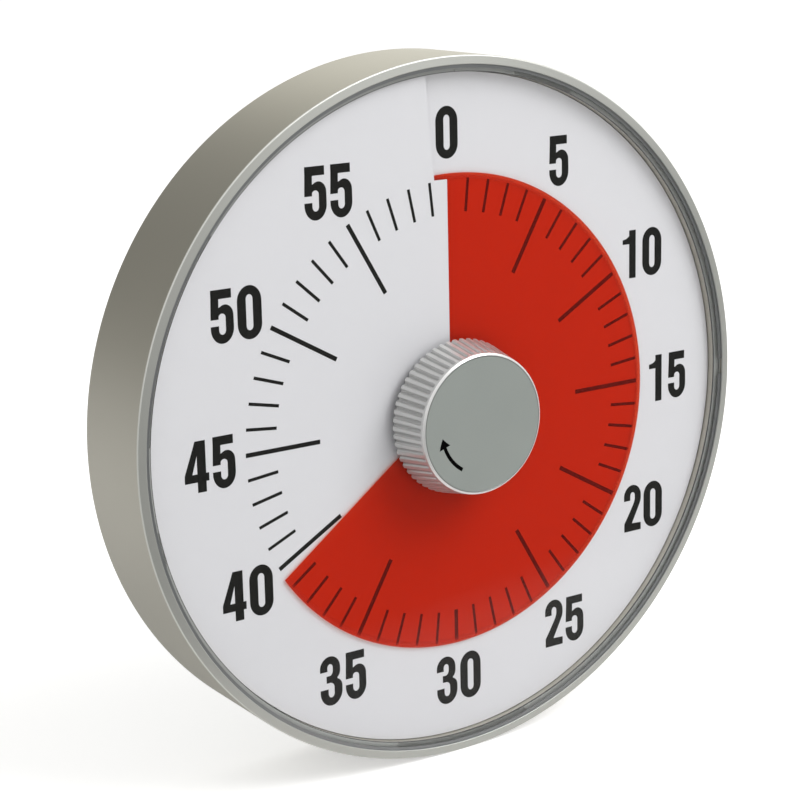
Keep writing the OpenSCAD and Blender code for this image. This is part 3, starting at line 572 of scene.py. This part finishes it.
def numeral_bands():
    """Each figure as bands, and each band as two edges with as many points, in millimetres from the
    figure's lower left corner. Arcs are parts of ellipses."""
    zero = (
        join(bend((5.3, 15.3), 5.3, 6.0, 0, 180, 24), bend((5.3, 6.1), 5.3, 6.0, 180, 360, 24),
             line((10.6, 15.3))),
        join(bend((5.3, 16.0), 1.65, 2.0, 0, 180, 24), bend((5.3, 5.4), 1.65, 2.0, 180, 360, 24),
             line((6.95, 16.0))))
    one = [
        (line((3.8, 0), (3.8, 21.3)), line((7.2, 0), (7.2, 21.3))),
        (line((0, 17.2), (1.5, 17.4), (2.8, 18.0), (3.8, 18.9), (4.6, 20.1), (4.9, 21.3)),
         line((0, 15.4), (1.5, 15.4), (2.8, 15.4), (3.8, 15.4), (4.6, 15.4), (4.9, 15.4)))]
    two = [
        (join(line((0, 14.5)), bend((4.75, 16.4), 4.75, 5.1, 180, 0, 24),
              line((9.5, 14.9), (9.25, 13.6), (8.75, 12.3), (8.1, 11.0), (6.2, 7.3), (4.2, 3.4))),
         join(line((3.35, 14.5)), bend((4.8, 16.6), 1.45, 1.8, 180, 0, 24),
              line((6.25, 15.2), (6.1, 14.3), (5.7, 13.2), (5.1, 12.0), (2.9, 8.2), (0.2, 3.9)))),
        (line((0.2, 0), (0.2, 3.9), (4.2, 3.4)), line((9.5, 0), (9.5, 3.4), (4.3, 3.4)))]
    three = [
        (join(line((0, 15.1)), bend((4.75, 16.4), 4.75, 5.1, 180, 0, 24),
              line((9.5, 14.9)), bend((6.7, 14.9), 2.8, 3.6, 0, -72, 8)),
         join(line((3.35, 15.1)), bend((4.75, 16.6), 1.45, 1.8, 180, 0, 24),
              line((6.2, 15.2)), bend((4.2, 15.2), 2.0, 2.3, 0, -105, 8))),
        (line((2.9, 12.9), (4.0, 12.95), (7.7, 12.4), (8.2, 11.2)),
         line((2.9, 10.1), (4.0, 10.1), (5.0, 10.1), (6.2, 9.6))),
        (join(bend((6.7, 7.9), 3.7, 3.6, 72, 0, 8), line((10.4, 6.4)),
              bend((5.2, 6.1), 5.2, 6.1, 0, -180, 24), line((0, 7.3))),
         join(bend((4.5, 7.9), 2.3, 2.2, 90, 0, 8), line((6.8, 6.2)),
              bend((5.2, 5.3), 1.6, 2.0, 0, -180, 24), line((3.6, 7.3))))]
    four = [
        (line((5.6, 0), (5.6, 20.9)), line((9.2, 0), (9.2, 20.9))),
        (line((0, 4.3), (0, 7.6)), line((10.5, 4.3), (10.5, 7.6))),
        (line((4.9, 20.9), (3.9, 18.0), (0, 7.5)), line((5.7, 20.9), (5.7, 16.2), (3.1, 7.5)))]
    five = [
        (line((0.4, 17.6), (0.4, 21.3)), line((9.2, 17.6), (9.2, 21.3))),
        (line((0.1, 9.6), (0.4, 18.0)), line((3.35, 9.6), (3.55, 18.0))),
        (join(line((3.4, 13.9)), bend((6.3, 10.9), 3.6, 4.2, 125, 0, 12), line((9.95, 7.2)),
              bend((5.0, 6.1), 4.95, 6.1, 0, -180, 24), line((0.05, 7.0))),
         join(line((3.4, 9.6)), bend((5.05, 10.2), 1.65, 1.7, 165, 0, 12), line((6.7, 7.2)),
              bend((5.05, 5.3), 1.65, 2.0, 0, -180, 24), line((3.4, 7.0))))]
    return {"0": [zero], "1": one, "2": two, "3": three, "4": four, "5": five}


FIGURE_HEIGHT = 21.3
# How much each stroke grows on either side of its drawn edges
STROKE_GROWTH = 0.15
# Room between two figures, and after a 1 that comes first
FIGURE_GAP, GAP_AFTER_ONE = 1.9, 4.05
FIGURE_WIDTH = {"0": 10.6, "1": 7.2, "2": 9.5, "3": 10.4, "4": 10.5, "5": 10.0}
# Middles of the printed numbers, across and up from the middle of the print
NUMBER_AT = {
    "0": (0.2, 118.8), "5": (57.5, 102.0), "10": (103.2, 57.2), "15": (118.1, -0.8),
    "20": (104.3, -59.3), "25": (58.9, -104.2), "30": (0.9, -117.4), "35": (-57.9, -103.6),
    "40": (-101.5, -56.9), "45": (-116.0, -0.6), "50": (-101.7, 57.3), "55": (-58.4, 100.7)}


def numbers():
    """All the numbers as one mesh: each figure's bands are ruled surfaces between their two edges,
    dropped on the climbing sheet."""
    bands = numeral_bands()
    points, faces, count = [], [], 0
    for word, (mid_x, mid_y) in NUMBER_AT.items():
        gap = GAP_AFTER_ONE if word[0] == "1" else FIGURE_GAP
        wide = sum(FIGURE_WIDTH[c] for c in word) + gap * (len(word) - 1)
        left = mid_x - wide / 2
        for figure in word:
            for first, second in bands[figure]:
                width = np.hypot(*(first - second).T)[:, None]
                grow = (first - second) / np.maximum(width, 0.1) * STROKE_GROWTH
                first, second = first + grow, second - grow
                share = np.linspace(0, 1, 3)[:, None, None]
                flat = first[None] + (second - first)[None] * share
                x = flat[..., 0] + left + PRINT_AT[0]
                y = flat[..., 1] + mid_y - FIGURE_HEIGHT / 2 + PRINT_AT[1]
                points.append(on_dial(x, y, sheet_front(x, y) + PRINT_LIFT).reshape(-1, 3))
                faces.append(quads(*flat.shape[:2]) + count)
                count += flat.shape[0] * flat.shape[1]
            left += FIGURE_WIDTH[figure] + gap
    points, faces = np.concatenate(points), np.concatenate(faces)
    a, b, c = points[faces[:, 0]], points[faces[:, 1]], points[faces[:, 2]]
    away = np.cross(b - a, c - a)[:, 1] > 0
    faces[away] = faces[away][:, ::-1]
    return points, faces


# ---- Film ----


def film_finish():
    """Clear red film: each of its faces takes most of the green and blue out of the light that goes
    through, and mirrors a little. It is denser towards its rim, which is painted shade over the light
    that reaches the sheet from under its edge."""
    f = Finish("red_film")
    radius, rim_shade_width, haze_tone = sizes().film_radius, 3.0, (0.62, 0.03, 0.012)
    tint = f.node("ShaderNodeBsdfTransparent", None, Color=colours().film)[0]
    haze = f.node("ShaderNodeBsdfPrincipled", None, Base_Color=haze_tone, Roughness=0.3,
                  Specular_IOR_Level=0.1)[0]
    # Painted shade: denser towards the rim, to darken the light that reaches the sheet from under the edge
    rim_shade = f.ramp(f.from_axis(), (radius - rim_shade_width) * MM, radius * MM)
    body = f.node("ShaderNodeMixShader", None, s0=rim_shade * 0.35 + 0.1, s1=tint, s2=haze)[0]
    mirror = f.node("ShaderNodeBsdfGlossy", None, Color=(1, 1, 1), Roughness=0.06)[0]
    return f.end(f.node("ShaderNodeMixShader", None, s0=f.mirrored(1.12), s1=body, s2=mirror)[0])


# ---- Knob ----


# Radii of the knob's foot and face, its chamfer, and how much its cone narrows for each millimetre
KNOB_R, FACE_R, CHAMFER = 33.0, 29.7, 0.7
LEAN = (KNOB_R - FACE_R) / (KNOB_TOP - KNOB_FOOT - CHAMFER)


def knob_mesh():
    """The knob as one skin. Its outside is a cone, less the depth of the nearest groove: that of a round
    cutter along the skirt and of a ball past the groove's end. Chamfer, rim, recess and the hollow
    under the roof are turned."""
    s = sizes()
    wall, recess_gap, edge = 2.8, 0.1, 0.06
    half = math.sqrt(s.groove_radius ** 2 - (s.groove_radius - s.groove_depth) ** 2)
    near = np.array([-1.0, -0.96, -0.86, -0.7, -0.5, -0.25, 0, 0.25, 0.5, 0.7, 0.86, 0.96, 1.0]) * half
    ribs = np.array([1.08, 1.25, 1.5]) * half
    step = 2 * math.pi / s.grooves
    offset = np.concatenate([near, ribs]) / FACE_R
    offset = offset[offset < step - half / FACE_R]
    turn = (np.arange(s.grooves)[:, None] * step + offset).ravel()
    side = np.tile(offset * FACE_R, s.grooves)
    side = np.where(side > step * FACE_R / 2, side - step * FACE_R, side)
    groove_end = KNOB_TOP - s.collar
    chamfer_at = KNOB_TOP - CHAMFER
    skirt_z = np.concatenate([
        np.linspace(KNOB_FOOT, groove_end - 0.4, 12),
        groove_end + s.groove_radius * np.sin(np.radians(np.linspace(-20, 90, 14))),
        [groove_end + 1.05, groove_end + 1.3, chamfer_at - 0.08]])
    past = np.maximum(skirt_z - groove_end, 0)[:, None]
    cone = KNOB_R - LEAN * (skirt_z - KNOB_FOOT)[:, None]
    spread = side[None] * cone / FACE_R
    bite = np.sqrt(np.maximum(s.groove_radius ** 2 - spread ** 2 - past ** 2, 0))
    bite = np.maximum(bite - (s.groove_radius - s.groove_depth), 0)
    roof = CAP_BACK - wall
    middle, inside = 0.001, KNOB_R - wall
    before = [(middle, roof), (inside - LEAN * (roof - KNOB_FOOT), roof), (inside, KNOB_FOOT)]
    recess = CAP_R + recess_gap
    after = [
        (FACE_R, chamfer_at), (FACE_R - 0.08, chamfer_at + 0.04),
        (FACE_R - CHAMFER + edge, KNOB_TOP - edge), (FACE_R - CHAMFER - 0.02, KNOB_TOP - 0.005),
        (FACE_R - CHAMFER - 0.1, KNOB_TOP), (recess + edge, KNOB_TOP), (recess, KNOB_TOP - edge),
        (recess, CAP_BACK), (middle, CAP_BACK)]

    def ring(rows):
        """The same radius and the same depth at every angle."""
        return np.array(rows).T[:, :, None] + 0 * turn

    (r0, z0), (r2, z2) = ring(before), ring(after)
    r = np.concatenate([r0, cone - bite, r2])
    z = np.concatenate([z0, skirt_z[:, None] + 0 * turn[None], z2])
    return on_dial(r * np.sin(turn), r * np.cos(turn), z), quads(*r.shape, wrap=True)


def grip_finish():
    """Silver lacquer of the knob, with painted shade where a point lies far into a groove and a painted
    highlight on the rim around the face. The depth is what the cone's radius has over the distance from the
    axis."""
    f = Finish("knob_lacquer")
    c = colours()
    groove_shade_start, groove_shade_end, groove_shade_share = 0.5, 0.88, 0.58
    rim_highlight_slack, rim_highlight_reach = 0.05, 0.2
    fine = f.noise(6000.0, 2.0, 0.6)
    slow = f.noise(60.0, 2.0, 0.5)
    away, out = f.from_axis(), f.axes()[2]
    cone = KNOB_R * MM - (out - level(KNOB_FOOT)) * LEAN
    # Painted shade, darker the further a point lies into a groove
    painted_groove_shade = f.ramp(cone - away, groove_shade_start * MM, groove_shade_end * MM)
    # Painted highlight on the chamfer around the face
    rim = (out > level(KNOB_TOP - CHAMFER - rim_highlight_slack)) * (away > (FACE_R - CHAMFER - rim_highlight_reach) * MM)
    silver = f.blend(painted_groove_shade * (1 - rim), tuple(c.knob), tuple(v * groove_shade_share for v in c.knob))
    tone = f.blend(rim, silver, tuple(c.rim))
    shade = (fine - 0.5) * 0.16 + (slow - 0.5) * 0.1 + 0.5
    return f.skin(
        Base_Color=f.tint(tone, f.blend(shade, (0.85, 0.85, 0.85), (1.14, 1.14, 1.14))),
        Metallic=0.62, Roughness=(fine - 0.5) * 0.08 + 0.33,
        Normal=f.bump(fine, 0.001 * MM, 0.4))


def face_finish():
    """Satin disc with a printed arrow: the arc is where the distance from the middle is near the arrow's
    ring between two angles, and the head is a triangle that narrows along the arc."""
    f = Finish("knob_face")
    tail, neck, tip, overlap = 211.5, 252.0, 262.0, 2.0
    half_width, head_spread = 0.8, 0.235
    across, up, _ = f.axes()
    turn = f.sum("ARCTAN2", across * -1, up * -1) * (180 / math.pi) + 180
    off = f.sum("ABSOLUTE", f.from_axis() - sizes().arrow_ring * FACE_R * MM)
    arc = (off < half_width * MM) * (turn > tail) * (turn < neck)
    head = (off < (tip - turn) * (head_spread * MM)) * (turn > neck - overlap)
    mark = f.sum("MAXIMUM", arc, head)
    grain = f.noise(5200.0, 2.0, 0.6)
    slow = f.noise(40.0, 2.0, 0.5)
    tone = colours().face
    dark, light = tuple(c * 0.9 for c in tone), tuple(min(1, c * 1.08) for c in tone)
    satin = f.blend(grain * 0.6 + slow * 0.4, dark, light)
    return f.skin(
        Base_Color=f.blend(mark, satin, (0.004, 0.004, 0.004)), Metallic=mark * 0.45 + 0.55,
        Roughness=(grain - 0.5) * 0.1 + 0.42, Normal=f.bump(grain, 0.002 * MM, 0.5))


# ---- Operators ----


class TIMER_OT_drum(bpy.types.Operator):
    """Turned ring, clear lens and split ring"""

    bl_idname = "timer.drum"
    bl_label = "Drum and Lens"

    def execute(self, context):
        points, faces = turned(drum_profile(), 480)
        ring = piece("drum_ring", points, faces, "housing", "silver_lacquer", drum_finish(), crease=28,
                     merge=True)
        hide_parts("housing_ring")
        finish_node(["front_lens"], lens_finish())
        finish_node(["retaining_ring"], turned_metal("clip_steel", linear(156, 158, 158), 0.34))
        return {"FINISHED"}


class TIMER_OT_dial(bpy.types.Operator):
    """White sheet that climbs one step a turn, with its marks and numbers"""

    bl_idname = "timer.dial"
    bl_label = "Dial"

    def execute(self, context):
        s = sizes()
        tab_r, tab_step = s.film_radius - s.tab_height, 0.3
        radii = np.array([s.sheet_hole, 30, 60, tab_r - tab_step, tab_r, 120, s.sheet_radius])
        first = np.full(len(radii), -s.under_flap)
        slit = np.degrees(np.arcsin(np.minimum(s.slit_offset / radii, 1)))
        last = 360 - np.where(radii < tab_r, slit, s.flap_end)
        points, faces = climbing_plate(radii, first, last, s.sheet_height, s.sheet_thickness, 361)
        sheet = piece("dial_paper", points, faces, "housing", "white_sheet", paper_finish(), crease=30)
        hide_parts("dial_sheet")
        ink = ink_finish()
        piece("minute_marks", *minute_marks(), "housing", "black_plastic", ink, smooth=False)
        piece("dial_numbers", *numbers(), "housing", "black_plastic", ink, smooth=False)
        finish_node(["dial_carrier"], moulded("carrier_white", tuple(colours().moulding), 0.5))
        return {"FINISHED"}


class TIMER_OT_film(bpy.types.Operator):
    """Red film on its hub"""

    bl_idname = "timer.film"
    bl_label = "Film"

    def execute(self, context):
        s = sizes()
        turn = s.minutes_set * MINUTE
        radii = np.linspace(s.film_hub, s.film_radius, 9)
        lag = np.degrees(np.arcsin(s.film_edge / radii))
        middle = s.sheet_height + s.pitch / 2
        points, faces = climbing_plate(radii, turn - 360 + lag, turn + lag, middle, s.film_thickness, 361)
        film = piece("film_sector", points, faces, "film", "red_film", film_finish(), crease=30)
        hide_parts("time_film")
        finish_node(["film_hub"], moulded("hub_white", tuple(colours().moulding), 0.45))
        return {"FINISHED"}


class TIMER_OT_knob(bpy.types.Operator):
    """Grooved knob with its satin disc and arrow"""

    bl_idname = "timer.knob"
    bl_label = "Knob"

    def execute(self, context):
        points, faces = knob_mesh()
        knob = piece("knob_grip", points, faces, "setting", "knob_silver", grip_finish(), crease=35,
                     merge=True)
        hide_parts("knob")
        finish_node(["knob_cap"], face_finish())
        finish_node(["set_shaft"], turned_metal("shaft_steel", tuple(colours().steel), 0.25))
        return {"FINISHED"}


class TIMER_OT_movement(bpy.types.Operator):
    """Finishes of the geared movement and its board"""

    bl_idname = "timer.movement"
    bl_label = "Movement"

    def execute(self, context):
        c = colours()
        finish_node(["movement_front", "movement_back", "buzzer"],
                    moulded("case_black", tuple(c.black), 0.5))
        finish_node(["centre_wheel", "third_wheel", "shaft_bush", "bush_nut"],
                    turned_metal("wheel_brass", tuple(c.brass), 0.22))
        finish_node(["third_pinion", "motor_pinion", "friction_spring", "movement_screws", "gear_motor",
                     "contact_plate", "contact_spring"],
                    turned_metal("plain_steel", tuple(c.steel), 0.28, around=False))
        finish_node(["circuit_board"], moulded("board_green", linear(34, 96, 60), 0.35, 700.0, coat=0.5))
        finish_node(["battery_cell"], moulded("cell_jacket", linear(78, 82, 88), 0.3, 300.0, coat=0.4))
        finish_node(["battery_leads"], moulded("wire_red", linear(180, 30, 26), 0.45))
        return {"FINISHED"}


class TIMER_OT_back(bpy.types.Operator):
    """Finishes of the back cover and what is fixed to it"""

    bl_idname = "timer.back"
    bl_label = "Back"

    def execute(self, context):
        c = colours()
        finish_node(["back_cover", "battery_door"],
                    moulded("cover_silver", tuple(c.cover), 0.55, 1100.0, 0.05))
        finish_node(["switch_slider", "switch_body"], moulded("switch_black", tuple(c.black), 0.45))
        finish_node(["cover_screws", "hanger_plate"],
                    turned_metal("fixing_steel", tuple(c.steel), 0.3, around=False))
        finish_node(["magnets"], turned_metal("magnet_nickel", linear(204, 204, 202), 0.16, around=False))
        return {"FINISHED"}


# ---- Stage ----


# The camera's place in metres, and the ways that it looks and holds its right side
CAMERA_AT = (-0.4829, -0.70795, 0.3700)
CAMERA_AHEAD = (0.53060, 0.81162, -0.24441)
CAMERA_RIGHT = (0.83362, -0.55187, -0.02288)
# Focal length and sensor width
CAMERA_LENS, CAMERA_SENSOR = 93.99, 36.0
# Half the floor's width, in metres
FLOOR_REACH = 16.0


def lamp(name, power, size, place, target):
    """A square soft lamp that faces a point."""
    data = bpy.data.lights.new(name, "AREA")
    data.shape = "RECTANGLE"
    data.size, data.size_y = size
    data.energy = power
    made = bpy.data.objects.new(name, data)
    made.location = place
    aim = Vector(target) - Vector(place)
    made.rotation_euler = aim.to_track_quat("-Z", "Y").to_euler()
    bpy.context.scene.collection.objects.link(made)


def floor_finish():
    """Pale floor: to the camera it is lifted to white, less the object's shadow. What shines sees it dark
    past a line in front of the object: a painted dark patch that only reflections see."""
    f = Finish("pale_floor")
    dark_patch_edge, dark_patch_end, dark_patch_skew = -0.12, -0.16, 0.2
    tone = tuple(colours().floor)
    grain = f.noise(3.0, 2.0, 0.5)
    mottled = f.blend(grain, tuple(c * 0.985 for c in tone), tone)
    plain = f.node("ShaderNodeBsdfDiffuse", None, Color=mottled)[0]
    # A painted dark patch, seen only in reflections past a line in front of the object
    dark = f.node("ShaderNodeEmission", None, Color=(1, 1, 1), Strength=0.28)[0]
    white = f.node("ShaderNodeEmission", None, Color=(1, 1, 1), Strength=3.2)[0]
    bare = f.node("ShaderNodeBsdfDiffuse", None, Color=(1, 1, 1))[0]
    path = f.node("ShaderNodeLightPath")
    by_camera, by_gloss = path[0], path[3]
    x, y, _ = f.node("ShaderNodeSeparateXYZ", s0=f.place())
    front = f.ramp(y + x * dark_patch_skew, dark_patch_edge, dark_patch_end)
    seen = f.node("ShaderNodeMixShader", None, s0=by_gloss * front, s1=plain, s2=dark)[0]
    lifted = f.node("ShaderNodeMixShader", None, s0=0.15, s1=bare, s2=white)[0]
    return f.end(f.node("ShaderNodeMixShader", None, s0=by_camera, s1=seen, s2=lifted)[0])


def studio():
    """Soft studio: an even tone, with a dark side behind on the left and a bright one behind on the
    right. Each side fades with the angle from its middle. The camera sees it white."""
    f = Finish("studio", world=True)
    dark_way, bright_way = (-0.35, 0.81, 0.47), (0.62, 0.75, 0.22)
    side_edge, side_middle = 0.70, 0.97
    even, darker, brighter = 0.68, 0.48, 0.45
    cool, warm, warm_from, warm_to = (1.0, 1.0, 1.0), (1.0, 0.985, 0.90), 0.0, 0.8
    way = f.node("ShaderNodeTexCoord")[0]

    def side(middle):
        """1 at a side's middle, and 0 where the cosine of the angle from it is below the side's edge."""
        toward = f.node("ShaderNodeVectorMath", {"operation": "DOT_PRODUCT"}, s0=way, s1=middle)[1]
        return f.ramp(toward, side_edge, side_middle, "SMOOTHSTEP")

    strength = even - side(dark_way) * darker + side(bright_way) * brighter
    _, behind, _ = f.node("ShaderNodeSeparateXYZ", s0=way)
    tone = f.blend(f.ramp(behind, warm_from, warm_to), cool, warm)
    lit = f.node("ShaderNodeBackground", None, Color=tone, Strength=strength)[0]
    white = f.node("ShaderNodeBackground", None, Color=(1, 1, 1), Strength=1.0)[0]
    by_camera = f.node("ShaderNodeLightPath")[0]
    return f.end(f.node("ShaderNodeMixShader", None, s0=by_camera, s1=lit, s2=white)[0])


class TIMER_OT_stage(bpy.types.Operator):
    """Camera at the photographed angle, pale floor and soft studio light"""

    bl_idname = "timer.stage"
    bl_label = "Stage"

    def execute(self, context):
        scene = context.scene
        scene.view_settings.view_transform = "Standard"
        data = bpy.data.cameras.new("camera")
        data.lens, data.sensor_width = CAMERA_LENS, CAMERA_SENSOR
        data.clip_start, data.clip_end = 0.05, 60.0
        camera = bpy.data.objects.new("camera", data)
        right = Vector(CAMERA_RIGHT).normalized()
        ahead = Vector(CAMERA_AHEAD).normalized()
        up = right.cross(ahead).normalized()
        turn = Matrix((right, up, -ahead)).transposed().to_4x4()
        camera.matrix_world = Matrix.Translation(CAMERA_AT) @ turn
        scene.collection.objects.link(camera)
        scene.camera = camera

        corners = [(x * FLOOR_REACH, y * FLOOR_REACH, 0) for x, y in ((-1, -1), (1, -1), (1, 1), (-1, 1))]
        mesh = bpy.data.meshes.new("floor")
        mesh.from_pydata(corners, [], [(0, 1, 2, 3)])
        floor = bpy.data.objects.new("floor", mesh)
        mesh.materials.append(floor_finish())
        scene.collection.objects.link(floor)

        scene.world = studio()
        lamp("key", power=46, size=(1.6, 1.6), place=(1.1, -1.5, 2.0), target=(0, 0, 0.15))
        return {"FINISHED"}


class TIMER_PT_panel(bpy.types.Panel):
    """Lists the timer's pieces and its sizes"""

    bl_label = "Countdown Timer"
    bl_idname = "TIMER_PT_panel"
    bl_space_type = "VIEW_3D"
    bl_region_type = "UI"
    bl_category = "Timer"

    def draw(self, context):
        column = self.layout.column(align=True)
        for operator in OPERATORS:
            column.operator(operator.bl_idname)
        for group in (context.scene.timer_sizes, context.scene.timer_colours):
            box = self.layout.box()
            for name in group.bl_rna.properties.keys():
                if name not in ("rna_type", "name"):
                    box.prop(group, name)


OPERATORS = (
    TIMER_OT_stage, TIMER_OT_drum, TIMER_OT_dial, TIMER_OT_film, TIMER_OT_knob, TIMER_OT_movement,
    TIMER_OT_back)
CLASSES = (TimerSizes, TimerColours, *OPERATORS, TIMER_PT_panel)


def register():
    for cls in CLASSES:
        bpy.utils.register_class(cls)
    bpy.types.Scene.timer_sizes = bpy.props.PointerProperty(type=TimerSizes)
    bpy.types.Scene.timer_colours = bpy.props.PointerProperty(type=TimerColours)


def unregister():
    del bpy.types.Scene.timer_colours
    del bpy.types.Scene.timer_sizes
    for cls in reversed(CLASSES):
        bpy.utils.unregister_class(cls)


def main():
    register()
    for operator in OPERATORS:
        group, name = operator.bl_idname.split(".")
        getattr(getattr(bpy.ops, group), name)()


if __name__ == "__main__":
    main()
